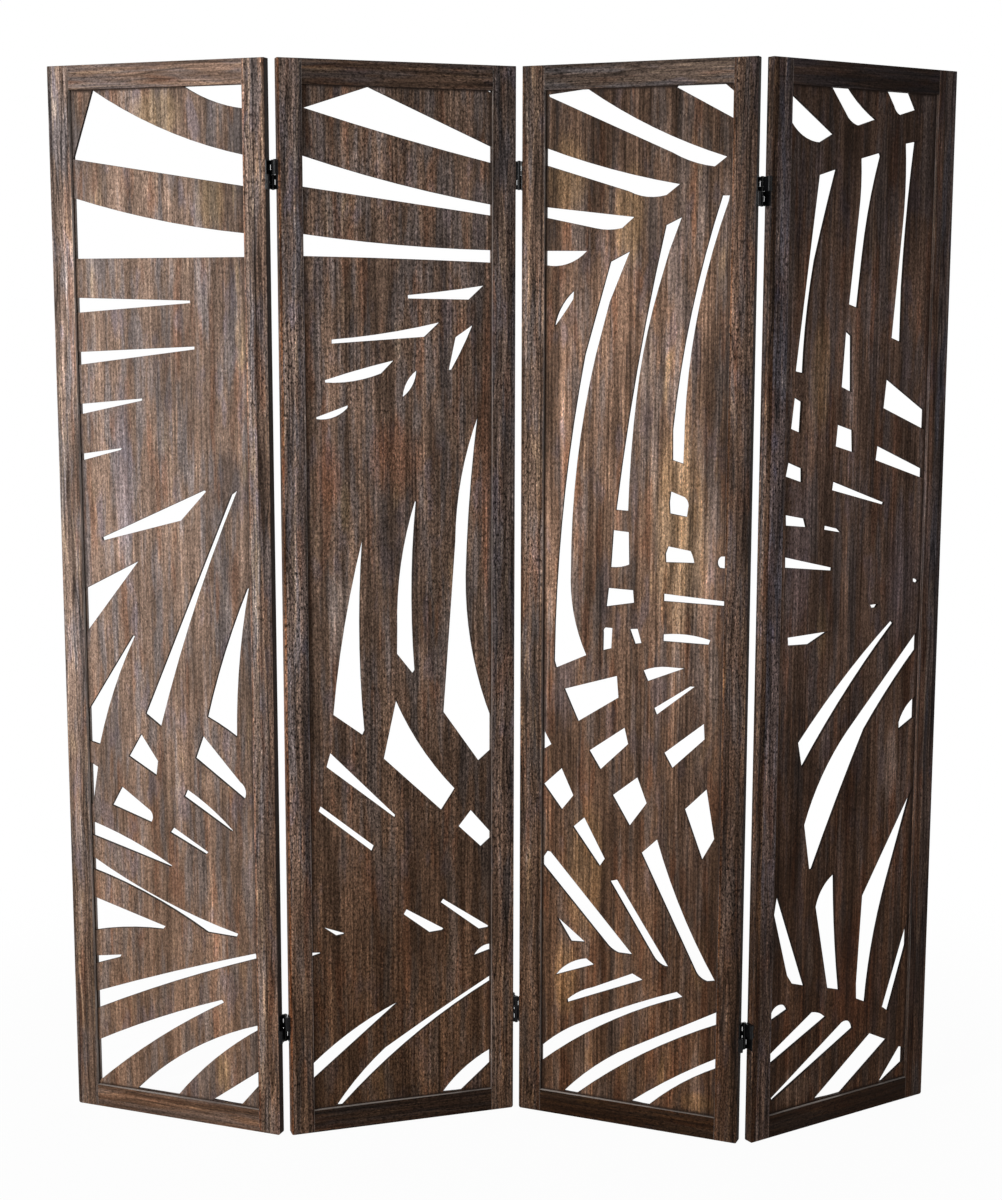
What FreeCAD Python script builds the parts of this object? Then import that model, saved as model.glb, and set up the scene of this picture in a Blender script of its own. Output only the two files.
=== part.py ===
import FreeCAD, Part
import os
import re
import Sketcher
from FreeCAD import Placement, Rotation, Vector

# Folding room divider of four hinged wooden panels, standing in a zigzag.
# Millimetres, +Z up. The front looks along -Y and the panels follow one another along +X.
# The origin is on the floor, in the middle of the space that the standing screen takes up.
# Each piece is drawn in its own panel's space: x across the panel from its left edge,
# y from the front face to the back face, z up from the floor.

os.makedirs("parts", exist_ok=True)

doc = FreeCAD.newDocument("RoomDivider")
sheet = doc.addObject("Spreadsheet::Sheet", "Sizes")
sheet.Label = "Sizes"

sizes = [
    # the panels
    ("panelHeight", 1800.0),
    ("panelWidth", 400.0),
    ("frameDepth", 16.0),
    ("memberWidth", 40.0),
    ("easedEdge", 1.2),
    ("wornCorner", 4.0),
    # the pierced board in each frame, and its groove
    ("boardThickness", 5.0),
    ("grooveDepth", 8.0),
    ("grooveSlack", 0.2),
    ("boardSideGap", 1.0),
    # the dowels of each frame corner
    ("dowelRadius", 3.0),
    ("dowelLength", 30.0),
    ("dowelSetShare", 0.28),
    ("dowelSlack", 0.05),
    ("dowelEndGap", 0.8),
    # the two-way hinges
    ("panelGap", 10.0),
    ("hingeHeight", 46.0),
    ("leafThickness", 1.5),
    ("leafSetIn", 0.6),
    ("barrelRadius", 3.2),
    ("barrelProud", 0.8),
    ("linkThickness", 1.6),
    ("knuckleGap", 0.3),
    ("barrelClearance", 0.5),
    ("pinRadius", 1.4),
    ("pinSlack", 0.05),
    ("pinHeadRadius", 2.4),
    ("pinHeadHeight", 0.8),
    # where the hinges sit: below the top edge and above the floor, joint by joint
    ("upperHingeDropFirst", 182.0),
    ("upperHingeDropMiddle", 176.0),
    ("upperHingeDropLast", 208.0),
    ("lowerHingeRiseFirst", 189.0),
    ("lowerHingeRiseMiddle", 182.5),
    ("lowerHingeRiseLast", 188.0),
    # the hinge screws
    ("screwPitch", 16.0),
    ("screwLength", 14.0),
    ("screwShankRadius", 1.4),
    ("screwHeadRadius", 2.6),
    ("screwHeadHeight", 1.2),
    ("screwTipLength", 2.4),
    ("screwSlack", 0.05),
    ("driveSlotWidth", 0.6),
    ("driveSlotLength", 3.0),
    ("driveSlotDepth", 0.7),
    # how far each panel is turned from the line of the screen as it stands, degrees
    ("turnFirst", 20.5),
    ("turnSecond", 18.0),
    ("turnThird", 22.5),
    ("turnFourth", 33.0),
]
for row, (alias, number) in enumerate(sizes, start=1):
    sheet.set("A%d" % row, alias)
    sheet.set("B%d" % row, str(number))
    sheet.setAlias("B%d" % row, alias)
doc.recompute()


def size(text):
    """The number that an expression of sheet names comes to."""
    result = sheet.evalExpression(text)
    return float(getattr(result, "Value", result))


aliases = [alias for alias, _ in sizes]


def bind(thing, where, text):
    """Ties one property of an object to an expression of sheet names."""
    def in_sheet(word):
        return "Sizes." + word.group() if word.group() in aliases else word.group()
    thing.setExpression(where, re.sub("[A-Za-z]+", in_sheet, text))


# The leaf cut-outs of each pierced board, as shares of the opening inside its frame:
# (across from the left, up from the bottom). A cut-out that meets the frame runs a little
# way into its groove. A point marked bend isn't a corner: the edge from the corner before
# it to the corner after it is an arc through it.

bend = "bend"

leafShares = {
    "panel_1": [
        [(0.655, 1.001), (1.004, 1.001), (1.004, 0.978), (0.82, 0.986, bend)],
        [(0.13, 1.0), (0.50, 0.9645, bend), (1.004, 0.9355), (1.004, 0.907), (0.006, 0.9355)],
        [(-0.004, 0.8993), (0.50, 0.877, bend), (1.004, 0.8637), (1.004, 0.842), (-0.004, 0.841)],
        [(-0.004, 0.8035), (0.675, 0.8012), (0.675, 0.799), (-0.004, 0.789)],
        [(-0.004, 0.751), (0.695, 0.7578), (0.695, 0.7552), (-0.004, 0.7385)],
        [(-0.004, 0.7003), (0.38, 0.7072), (0.38, 0.7053), (-0.004, 0.690)],
        [(-0.004, 0.6513), (0.25, 0.6585), (0.245, 0.6568), (-0.004, 0.6445)],
        [(0.115, 0.5695), (0.735, 0.6205), (0.745, 0.619), (0.595, 0.590), (0.12, 0.5665)],
        [(-0.004, 0.5168), (0.335, 0.5482), (-0.004, 0.4715)],
        [(0.89, 0.617), (0.928, 0.622), (0.617, 0.4812, bend), (0.445, 0.383), (0.352, 0.395)],
        [(0.974, 0.5277), (0.984, 0.527), (0.915, 0.440, bend), (0.90, 0.379), (0.82, 0.388, bend),
         (0.724, 0.397), (0.83, 0.461, bend)],
        [(-0.004, 0.393), (0.288, 0.4738), (0.30, 0.4725), (0.15, 0.410, bend), (0.066, 0.3595),
         (-0.004, 0.3625)],
        [(-0.004, 0.3412), (0.05, 0.3362), (0.013, 0.297), (-0.004, 0.297)],
        [(0.322, 0.3745), (0.422, 0.348), (0.41, 0.3325), (0.242, 0.350)],
        [(0.697, 0.3783), (0.915, 0.3345), (0.945, 0.327, bend), (0.937, 0.3175), (0.648, 0.3545)],
        [(0.195, 0.3185), (0.365, 0.297), (0.382, 0.291, bend), (0.368, 0.284), (0.132, 0.298)],
        [(0.595, 0.3222), (0.75, 0.3035, bend), (0.868, 0.2845), (0.855, 0.2838), (0.575, 0.3142)],
        [(0.508, 0.2818), (0.715, 0.260), (0.70, 0.2572), (0.484, 0.2758)],
        [(-0.004, 0.2798), (0.22, 0.266, bend), (0.495, 0.2418), (0.485, 0.2405), (-0.004, 0.265)],
        [(-0.004, 0.243), (0.41, 0.2068, bend), (0.885, 0.1797), (0.875, 0.1757), (0.70, 0.177),
         (0.45, 0.2003, bend), (-0.004, 0.2292)],
        [(-0.004, 0.2003), (0.443, 0.178), (0.427, 0.1743), (0.22, 0.172, bend), (-0.004, 0.1643)],
        [(-0.004, 0.1372), (0.163, 0.142), (0.155, 0.139), (-0.004, 0.1287)],
        [(-0.004, 0.0992), (0.48, 0.1312, bend), (0.987, 0.1615), (1.0, 0.1567), (0.55, 0.1255, bend),
         (-0.004, 0.0807)],
        [(-0.004, 0.0465), (0.40, 0.0815, bend), (0.78, 0.1087), (0.792, 0.106), (0.42, 0.0635, bend),
         (-0.004, 0.002)],
        [(0.245, 0.0012), (0.60, 0.0532, bend), (0.99, 0.0868), (1.0, 0.083), (0.75, 0.0487, bend),
         (0.497, 0.0005)],
        [(0.716, 0.002), (1.004, 0.0402), (1.004, 0.0265), (0.885, 0.0008)],
    ],
    "panel_2": [
        [(0.013, 0.9787), (0.345, 0.9995), (1.004, 0.9472), (1.004, 0.932), (0.40, 0.959, bend)],
        [(0.96, 1.001), (1.004, 1.001), (1.004, 0.9975)],
        [(-0.004, 0.9358), (0.50, 0.911, bend), (1.004, 0.893), (1.004, 0.8825), (-0.004, 0.907)],
        [(-0.004, 0.8635), (0.50, 0.854, bend), (1.004, 0.8498), (1.004, 0.838), (0.50, 0.8412, bend),
         (-0.004, 0.843)],
        [(0.547, 0.8068), (0.75, 0.8108, bend), (0.957, 0.816), (0.878, 0.8027), (0.548, 0.8037)],
        [(0.144, 0.765), (0.45, 0.7715, bend), (0.718, 0.781), (0.637, 0.7672), (0.144, 0.7612)],
        [(0.90, 0.7788), (0.803, 0.7667), (0.766, 0.7352), (0.783, 0.7355), (0.85, 0.7585, bend)],
        [(0.106, 0.7268), (0.28, 0.7362, bend), (0.473, 0.745), (0.405, 0.7325), (0.26, 0.7255, bend),
         (0.108, 0.7245)],
        [(0.594, 0.7355), (0.535, 0.7225, bend), (0.517, 0.7105), (0.524, 0.7102), (0.575, 0.7215, bend)],
        [(0.06, 0.6918), (0.228, 0.7028), (0.226, 0.70), (0.18, 0.6935, bend), (0.06, 0.690)],
        [(0.927, 0.6915), (0.838, 0.635, bend), (0.80, 0.568), (0.733, 0.398), (0.93, 0.3455),
         (1.004, 0.3568), (1.004, 0.388), (0.90, 0.4545, bend), (0.861, 0.533), (0.88, 0.604, bend)],
        [(0.58, 0.6085), (0.507, 0.553, bend), (0.481, 0.485), (0.479, 0.459), (0.565, 0.4385),
         (0.577, 0.4415), (0.563, 0.53, bend), (0.588, 0.608)],
        [(0.298, 0.575), (0.204, 0.497, bend), (0.132, 0.4018), (0.29, 0.3798), (0.301, 0.384),
         (0.278, 0.485, bend)],
        [(0.472, 0.4125), (0.403, 0.3548), (0.722, 0.2978), (0.797, 0.3185), (0.61, 0.3637, bend)],
        [(0.885, 0.2955), (0.817, 0.28), (0.945, 0.2568), (1.004, 0.266), (1.004, 0.2697)],
        [(0.113, 0.3638), (0.466, 0.296), (0.462, 0.294), (0.092, 0.3502)],
        [(0.057, 0.3112), (0.347, 0.2667), (0.335, 0.2615), (0.047, 0.3062)],
        [(0.728, 0.2058), (0.988, 0.1727), (0.985, 0.1712), (0.935, 0.1703), (0.715, 0.2025)],
        [(0.523, 0.1985), (0.733, 0.1745), (0.725, 0.1728), (0.655, 0.1718), (0.507, 0.1935)],
        [(0.065, 0.188), (0.18, 0.180), (0.178, 0.1788), (0.138, 0.1778)],
        [(-0.004, 0.1632), (0.047, 0.1625), (0.047, 0.161), (-0.004, 0.1587)],
        [(0.902, 0.1427), (0.935, 0.1505, bend), (0.985, 0.154), (1.004, 0.1538), (1.004, 0.148)],
        [(0.128, 0.0015), (0.24, 0.0275, bend), (0.40, 0.0562), (0.68, 0.0872, bend), (1.004, 0.1212),
         (1.004, 0.115), (0.50, 0.0562, bend), (0.16, 0.001)],
        [(-0.004, 0.0475), (0.20, 0.0762, bend), (0.47, 0.1028), (0.463, 0.1007), (-0.004, 0.0308)],
        [(0.722, 0.0015), (0.80, 0.0175, bend), (1.004, 0.0425), (1.004, 0.028), (0.832, 0.001)],
    ],
    "panel_3": [
        [(0.012, 0.9962), (0.225, 1.0003), (0.60, 0.961, bend), (0.967, 0.9342), (0.905, 0.9256),
         (0.79, 0.9303, bend), (0.68, 0.9393), (0.015, 0.9942)],
        [(0.70, 0.9985), (0.71, 1.001), (0.945, 1.001), (1.004, 0.992), (1.004, 0.968)],
        [(-0.004, 0.9467), (0.45, 0.9208, bend), (0.724, 0.910), (0.655, 0.9003), (0.56, 0.8988, bend),
         (0.45, 0.9045), (-0.004, 0.9305)],
        [(-0.004, 0.8908), (0.484, 0.8803), (0.42, 0.8702), (0.35, 0.8688, bend), (0.27, 0.8705),
         (-0.004, 0.881)],
        [(-0.004, 0.8493), (0.23, 0.849), (0.135, 0.8375, bend), (-0.004, 0.836)],
        [(0.161, 0.8118), (0.103, 0.80, bend), (0.052, 0.7763), (0.112, 0.791, bend), (0.157, 0.8035)],
        [(0.464, 0.8487), (0.358, 0.8387), (0.222, 0.750), (0.128, 0.638, bend), (0.066, 0.487),
         (0.062, 0.448), (0.073, 0.4413), (0.245, 0.4562), (0.178, 0.492, bend), (0.155, 0.540),
         (0.185, 0.645, bend), (0.284, 0.7505), (0.357, 0.801)],
        [(0.738, 0.880), (0.653, 0.8725), (0.497, 0.7255, bend), (0.402, 0.6013), (0.47, 0.6008),
         (0.484, 0.660, bend), (0.509, 0.711), (0.555, 0.7655, bend), (0.62, 0.8145), (0.675, 0.849)],
        [(0.946, 0.899), (0.985, 0.899), (0.98, 0.894), (0.831, 0.792, bend), (0.768, 0.665),
         (0.765, 0.6482), (0.706, 0.6515), (0.704, 0.680), (0.788, 0.786, bend)],
        [(0.699, 0.6217), (0.776, 0.6165), (0.79, 0.6135, bend), (0.795, 0.606), (0.789, 0.5975),
         (0.696, 0.6002), (0.692, 0.611)],
        [(0.388, 0.5815), (0.475, 0.5803), (0.479, 0.5487), (0.43, 0.5457, bend), (0.376, 0.545)],
        [(0.689, 0.5685), (0.812, 0.565), (0.824, 0.560, bend), (0.833, 0.5535), (0.677, 0.5528),
         (0.675, 0.561)],
        [(1.004, 0.5617), (0.975, 0.5612), (0.955, 0.5557, bend), (0.967, 0.5502), (1.004, 0.5497)],
        [(0.364, 0.5245), (0.502, 0.5237), (0.508, 0.5113), (0.353, 0.506)],
        [(0.669, 0.5222), (1.004, 0.5182), (1.004, 0.5137), (0.669, 0.5148)],
        [(0.359, 0.4852), (0.39, 0.485), (0.385, 0.4648), (0.337, 0.4622), (0.338, 0.480),
         (0.344, 0.4842, bend)],
        [(0.485, 0.4852), (0.53, 0.486), (0.552, 0.472), (0.515, 0.4708)],
        [(0.669, 0.4822), (0.77, 0.4837, bend), (0.925, 0.4798), (0.916, 0.475), (0.669, 0.4755)],
        [(0.562, 0.445), (0.62, 0.4488, bend), (0.70, 0.4505), (0.788, 0.4502), (0.587, 0.4348)],
        [(0.624, 0.4082), (0.822, 0.433), (0.845, 0.433), (0.638, 0.402)],
        [(0.121, 0.4205), (0.418, 0.4377), (0.428, 0.4163), (0.20, 0.3888)],
        [(-0.004, 0.3812), (0.05, 0.3632), (-0.004, 0.3562)],
        [(0.265, 0.360), (0.464, 0.3865), (0.485, 0.3705), (0.328, 0.3418)],
        [(0.683, 0.3645), (0.899, 0.3972), (0.904, 0.382), (0.728, 0.3502)],
        [(0.006, 0.3213), (0.11, 0.3397), (0.178, 0.313), (0.11, 0.2968)],
        [(0.399, 0.3168), (0.539, 0.3378), (0.592, 0.3127), (0.496, 0.2875)],
        [(0.801, 0.310), (0.92, 0.3325), (0.966, 0.2838), (0.90, 0.2612)],
        [(0.177, 0.2805), (0.242, 0.2915), (0.36, 0.2515), (0.33, 0.2428)],
        [(-0.004, 0.2432), (0.03, 0.2528), (0.05, 0.2522), (0.525, 0.1555), (0.44, 0.1555),
         (0.40, 0.1592, bend), (0.37, 0.1645), (-0.004, 0.2398)],
        [(0.39, 0.229), (0.432, 0.2313), (0.726, 0.1482), (0.705, 0.1478), (0.668, 0.1512, bend),
         (0.64, 0.1568)],
        [(0.565, 0.2612), (0.653, 0.277), (0.783, 0.212, bend), (0.985, 0.140), (0.94, 0.1382),
         (0.905, 0.1408, bend), (0.872, 0.1485)],
        [(0.083, 0.1862), (0.255, 0.1622), (0.17, 0.1612)],
        [(0.083, 0.1238), (0.155, 0.1372, bend), (0.26, 0.1455), (0.306, 0.140)],
        [(0.15, 0.0992), (0.215, 0.1088, bend), (0.30, 0.1162), (0.525, 0.1363), (0.585, 0.131),
         (0.152, 0.0962)],
        [(-0.004, 0.0448), (0.09, 0.0603, bend), (0.20, 0.0738), (0.50, 0.1018, bend), (0.775, 0.1235),
         (0.81, 0.119), (0.42, 0.0848, bend), (-0.004, 0.029)],
        [(0.137, 0.0015), (0.255, 0.0235, bend), (0.45, 0.0515), (1.004, 0.109), (1.004, 0.0957),
         (0.55, 0.0488, bend), (0.21, 0.0008)],
        [(0.525, 0.002), (0.74, 0.031, bend), (1.004, 0.061), (1.004, 0.0505), (0.80, 0.0278, bend),
         (0.625, 0.0008)],
    ],
    "panel_4": [
        [(0.014, 0.991), (0.292, 0.9572), (0.205, 0.9488), (0.12, 0.9515, bend), (0.01, 0.9663)],
        [(0.268, 1.001), (0.386, 1.001), (0.475, 0.9857, bend), (0.578, 0.973), (0.458, 0.9662),
         (0.421, 0.9685, bend), (0.387, 0.973)],
        [(0.647, 1.001), (0.803, 1.001), (0.857, 0.9845), (0.745, 0.9785), (0.718, 0.9815, bend),
         (0.70, 0.9865)],
        [(0.205, 0.919), (0.321, 0.9253), (0.248, 0.879, bend), (0.191, 0.84), (0.15, 0.79, bend),
         (0.13, 0.7345), (0.077, 0.7365)],
        [(0.484, 0.936), (0.615, 0.9423), (0.622, 0.939), (0.555, 0.89, bend), (0.518, 0.846),
         (0.488, 0.7955), (0.427, 0.799), (0.478, 0.885), (0.488, 0.912, bend)],
        [(0.79, 0.952), (0.863, 0.9545), (0.82, 0.879, bend), (0.80, 0.815), (0.80, 0.7622),
         (0.732, 0.7665), (0.787, 0.875), (0.798, 0.915, bend)],
        [(0.412, 0.7742), (0.452, 0.769), (0.462, 0.715), (0.392, 0.7203)],
        [(0.075, 0.7122), (0.126, 0.7075), (0.119, 0.678), (0.055, 0.6823)],
        [(0.707, 0.7273), (0.99, 0.6945), (0.992, 0.6755), (0.69, 0.6985)],
        [(0.373, 0.6845), (0.48, 0.6783), (0.487, 0.6568), (0.362, 0.6635)],
        [(0.655, 0.6622), (0.988, 0.6365), (0.988, 0.6273), (0.645, 0.648)],
        [(0.043, 0.6507), (0.137, 0.644), (0.14, 0.6305), (0.027, 0.6373)],
        [(0.352, 0.6297), (0.718, 0.6055), (0.712, 0.6033), (0.345, 0.6213)],
        [(0.033, 0.6003), (0.163, 0.5955), (0.178, 0.5872), (0.036, 0.5903)],
        [(0.30, 0.5873), (0.395, 0.583), (0.418, 0.5792), (0.298, 0.5835)],
        [(0.036, 0.5597), (0.362, 0.5453), (0.36, 0.5425), (0.037, 0.5497)],
        [(0.943, 0.5265), (0.965, 0.5262), (0.99, 0.5237), (0.97, 0.5215), (0.945, 0.5237)],
        [(0.637, 0.5045), (0.695, 0.5047), (0.68, 0.5012), (0.648, 0.501)],
        [(0.066, 0.4813), (0.343, 0.4828), (0.213, 0.4722), (0.07, 0.4733)],
        [(0.155, 0.3757), (0.45, 0.4325, bend), (0.793, 0.4867), (0.812, 0.4832), (0.513, 0.4252, bend),
         (0.186, 0.349)],
        [(0.988, 0.4728), (0.995, 0.4555), (0.79, 0.4155, bend), (0.628, 0.379), (0.458, 0.3165, bend),
         (0.278, 0.2447), (0.256, 0.2447), (0.212, 0.2915), (0.35, 0.345, bend), (0.50, 0.3805)],
        [(0.99, 0.4055), (1.0, 0.3848), (0.875, 0.3728), (0.873, 0.381), (0.915, 0.3945, bend)],
        [(0.994, 0.3115), (0.643, 0.2065), (0.617, 0.115), (0.621, 0.0985), (0.692, 0.0923),
         (0.738, 0.155, bend), (0.832, 0.2205)],
        [(0.432, 0.2358), (0.35, 0.2225, bend), (0.308, 0.205), (0.408, 0.117), (0.497, 0.112),
         (0.461, 0.167, bend), (0.437, 0.2335)],
        [(0.036, 0.2265), (0.018, 0.206), (0.118, 0.1405), (0.155, 0.1305), (0.243, 0.1253)],
        [(0.998, 0.1768), (1.004, 0.1742), (1.004, 0.1545), (0.865, 0.0763), (0.817, 0.0825)],
        [(0.012, 0.104), (0.05, 0.1112, bend), (0.128, 0.1045), (0.018, 0.097)],
        [(-0.004, 0.0612), (0.30, 0.0957), (0.35, 0.0932, bend), (0.405, 0.0865), (-0.004, 0.0502)],
        [(0.025, 0.0165), (0.52, 0.077), (0.572, 0.0762, bend), (0.603, 0.0672), (0.028, 0.0125)],
        [(0.328, 0.0025), (0.728, 0.0572), (0.862, 0.0453), (0.522, 0.0008)],
        [(0.805, 0.0012), (0.953, 0.0342), (0.985, 0.032, bend), (1.004, 0.0215), (1.004, 0.0183),
         (0.832, 0.0008)],
    ],
}


# Sketches and features of the wooden pieces

planes = {"front": "XZ_Plane", "side": "YZ_Plane"}


def new_body(name):
    body = doc.addObject("PartDesign::Body", name)
    body.Label = name
    return body


def new_sketch(body, name, plane, across, up, out):
    """A sketch on one of the body's own planes, moved by three expressions of sheet names."""
    sketch = body.newObject("Sketcher::SketchObject", name)
    role = planes[plane]
    support = [item for item in body.Origin.OriginFeatures if item.Role == role][0]
    sketch.AttachmentSupport = [(support, "")]
    sketch.MapMode = "FlatFace"
    bind(sketch, "AttachmentOffset.Base.x", across)
    bind(sketch, "AttachmentOffset.Base.y", up)
    bind(sketch, "AttachmentOffset.Base.z", out)
    return sketch


def draw_rectangle(sketch, width, height):
    """A rectangle whose lower left corner is the sketch's origin."""
    wide = size(width)
    high = size(height)
    corners = [Vector(0, 0), Vector(wide, 0), Vector(wide, high), Vector(0, high)]
    for start, end in zip(corners, corners[1:] + corners[:1]):
        sketch.addGeometry(Part.LineSegment(start, end))
    for line, following in ((0, 1), (1, 2), (2, 3), (3, 0)):
        sketch.addConstraint(Sketcher.Constraint("Coincident", line, 2, following, 1))
    sketch.addConstraint(Sketcher.Constraint("Coincident", 0, 1, -1, 1))
    for line, direction in ((0, "Horizontal"), (2, "Horizontal"), (1, "Vertical"), (3, "Vertical")):
        sketch.addConstraint(Sketcher.Constraint(direction, line))
    across = sketch.addConstraint(Sketcher.Constraint("DistanceX", 0, 1, 0, 2, wide))
    bind(sketch, "Constraints[%d]" % across, width)
    up = sketch.addConstraint(Sketcher.Constraint("DistanceY", 1, 1, 1, 2, high))
    bind(sketch, "Constraints[%d]" % up, height)


def draw_circles(sketch, radius, steps):
    """Circles of one radius up the sketch's axis. A step is a signed expression, None at the origin."""
    for step in steps:
        high = 0.0 if step is None else size(step)
        circle = sketch.addGeometry(Part.Circle(Vector(0, high), Vector(0, 0, 1), size(radius)))
        rim = sketch.addConstraint(Sketcher.Constraint("Radius", circle, size(radius)))
        bind(sketch, "Constraints[%d]" % rim, radius)
        if step is None:
            sketch.addConstraint(Sketcher.Constraint("Coincident", circle, 3, -1, 1))
            continue
        sketch.addConstraint(Sketcher.Constraint("PointOnObject", circle, 3, -2))
        if high > 0:
            place = Sketcher.Constraint("DistanceY", -1, 1, circle, 3, high)
            text = step
        else:
            place = Sketcher.Constraint("DistanceY", circle, 3, -1, 1, -high)
            text = "-(" + step + ")"
        bind(sketch, "Constraints[%d]" % sketch.addConstraint(place), text)


def feature(body, kind, name, sketch, length, reverse):
    """A Pad or Pocket of a bound length. A Pocket must take volume away, so a cut that misses is caught."""
    before = 0.0 if body.Shape.isNull() else body.Shape.Volume
    made = body.newObject("PartDesign::" + kind, name)
    made.Profile = sketch
    made.Reversed = reverse
    if length is None:
        made.Type = "ThroughAll"
    else:
        bind(made, "Length", length)
    doc.recompute()
    after = body.Shape.Volume
    if kind == "Pocket" and not after < before:
        raise RuntimeError(name + " cuts nothing")
    return made


def slab(body, kind, name, x, z, width, height, y, depth):
    """A rectangle seen from the front, from depth y backwards: added by a Pad or cut by a Pocket."""
    sketch = new_sketch(body, name + "Sketch", "front", x, z, "-(" + y + ")")
    draw_rectangle(sketch, width, height)
    return feature(body, kind, name, sketch, depth, kind == "Pad")


def holes(body, name, x, z, radius, steps, depth, towards):
    """Round holes along x from the face at x, at mid depth: towards is +1 or -1 along x."""
    sketch = new_sketch(body, name + "Sketch", "side", "frameDepth / 2", z, x)
    draw_circles(sketch, radius, steps)
    return feature(body, "Pocket", name, sketch, depth, towards > 0)


def round_edges(body, name, radius, chosen):
    """A fillet on the edges of the body's last feature that the test chosen picks."""
    base = body.Tip
    names = []
    for index, edge in enumerate(base.Shape.Edges, start=1):
        if chosen(edge):
            names.append("Edge%d" % index)
    fillet = body.newObject("PartDesign::Fillet", name)
    fillet.Base = (base, names)
    bind(fillet, "Radius", radius)
    doc.recompute()
    return fillet


def lies_at(edge, **where):
    """Whether both ends of an edge have the given coordinates."""
    near = size("easedEdge") / 10
    for vertex in edge.Vertexes:
        for axis, value in where.items():
            if abs(getattr(vertex.Point, axis) - value) > near:
                return False
    return True


# The four pieces of a frame, drawn in the panel's own space

grooveWidth = "(boardThickness + 2 * grooveSlack)"
grooveFace = "((frameDepth - " + grooveWidth + ") / 2)"
openingWidth = "(panelWidth - 2 * memberWidth)"
openingHeight = "(panelHeight - 2 * memberWidth)"
dowelHole = "(dowelLength / 2 + dowelEndGap)"
dowelRise = "(dowelSetShare * (memberWidth - grooveDepth))"
dowelSpacing = "((1 - 2 * dowelSetShare) * (memberWidth - grooveDepth))"
dowelTop = "(panelHeight - " + dowelRise + " - " + dowelSpacing + ")"
dowelBore = "(dowelRadius + dowelSlack)"
screwBore = "(screwShankRadius + screwSlack)"
screwDepth = "(screwLength - leafThickness + dowelEndGap)"

joints = {
    "joint_12": ("panel_1", "panel_2", "First", "back"),
    "joint_23": ("panel_2", "panel_3", "Middle", "front"),
    "joint_34": ("panel_3", "panel_4", "Last", "back"),
}


def hinge_levels(which):
    """The heights of a joint's two hinge centres, as expressions."""
    return {
        "upper": "(panelHeight - upperHingeDrop" + which + ")",
        "lower": "(lowerHingeRise" + which + ")",
    }


def make_stile(panel, side):
    """An upright of the frame, full height, grooved on its inner face, bored for dowels and hinge screws."""
    body = new_body(panel + "_" + side + "_stile")
    left = side == "left"
    start = "0" if left else "panelWidth - memberWidth"
    inner = "memberWidth" if left else "panelWidth - memberWidth"
    outer = "0" if left else "panelWidth"
    inward = 1 if left else -1
    slab(body, "Pad", "Upright", start, "0", "memberWidth", "panelHeight", "0", "frameDepth")

    edgeX = size(outer)
    height = size("panelHeight")
    round_edges(body, "WornCorner", "wornCorner", lambda edge: lies_at(edge, x=edgeX, z=0))
    round_edges(body, "TopCorner", "easedEdge", lambda edge: lies_at(edge, x=edgeX, z=height))
    depth = size("frameDepth")
    round_edges(body, "EasedEdges", "easedEdge",
                lambda edge: lies_at(edge, x=edgeX, y=0) or lies_at(edge, x=edgeX, y=depth))

    grooveStart = "memberWidth - grooveDepth" if left else "panelWidth - memberWidth"
    slab(body, "Pocket", "Groove", grooveStart, "memberWidth - grooveDepth", "grooveDepth",
         openingHeight + " + 2 * grooveDepth", grooveFace, grooveWidth)
    for end, level in (("Bottom", dowelRise), ("Top", dowelTop)):
        holes(body, "Dowels" + end, inner, level, dowelBore, [None, dowelSpacing], dowelHole, -inward)
    for left_panel, right_panel, which, _ in joints.values():
        if panel == (right_panel if left else left_panel):
            for level, place in hinge_levels(which).items():
                holes(body, "Screws" + level, outer, place, screwBore,
                      [None, "screwPitch", "-screwPitch"], screwDepth, inward)
    return body


def make_rail(panel, end):
    """A cross piece between the stiles, grooved along its inner edge and bored for dowels at both ends."""
    body = new_body(panel + "_" + end + "_rail")
    bottom = end == "bottom"
    start = "0" if bottom else "panelHeight - memberWidth"
    grooveStart = "memberWidth - grooveDepth" if bottom else "panelHeight - memberWidth"
    slab(body, "Pad", "CrossPiece", "memberWidth", start, openingWidth, "memberWidth", "0", "frameDepth")
    depth = size("frameDepth")
    levels = (size(start), size(start + " + memberWidth"))
    round_edges(body, "EasedEdges", "easedEdge",
                lambda edge: any(lies_at(edge, y=y, z=z) for y in (0, depth) for z in levels))
    slab(body, "Pocket", "Groove", "memberWidth", grooveStart, openingWidth, "grooveDepth",
         grooveFace, grooveWidth)
    level = dowelRise if bottom else dowelTop
    for side, x, towards in (("Left", "memberWidth", 1), ("Right", "panelWidth - memberWidth", -1)):
        holes(body, "Dowels" + side, x, level, dowelBore, [None, dowelSpacing], dowelHole, towards)
    return body


def draw_outline(sketch, shares):
    """One closed cut-out: straight edges between corners, and an arc wherever a bend lies between two."""
    wide = size(openingWidth)
    high = size(openingHeight)
    points = [Vector(point[0] * wide, point[1] * high) for point in shares]
    bends = [len(point) > 2 for point in shares]
    count = len(points)
    first = sketch.GeometryCount
    for index in range(count):
        following = (index + 1) % count
        if bends[index]:
            continue
        if bends[following]:
            end = points[(index + 2) % count]
            sketch.addGeometry(Part.Arc(points[index], points[following], end))
        else:
            sketch.addGeometry(Part.LineSegment(points[index], points[following]))
    return sketch.GeometryCount - first


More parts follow.
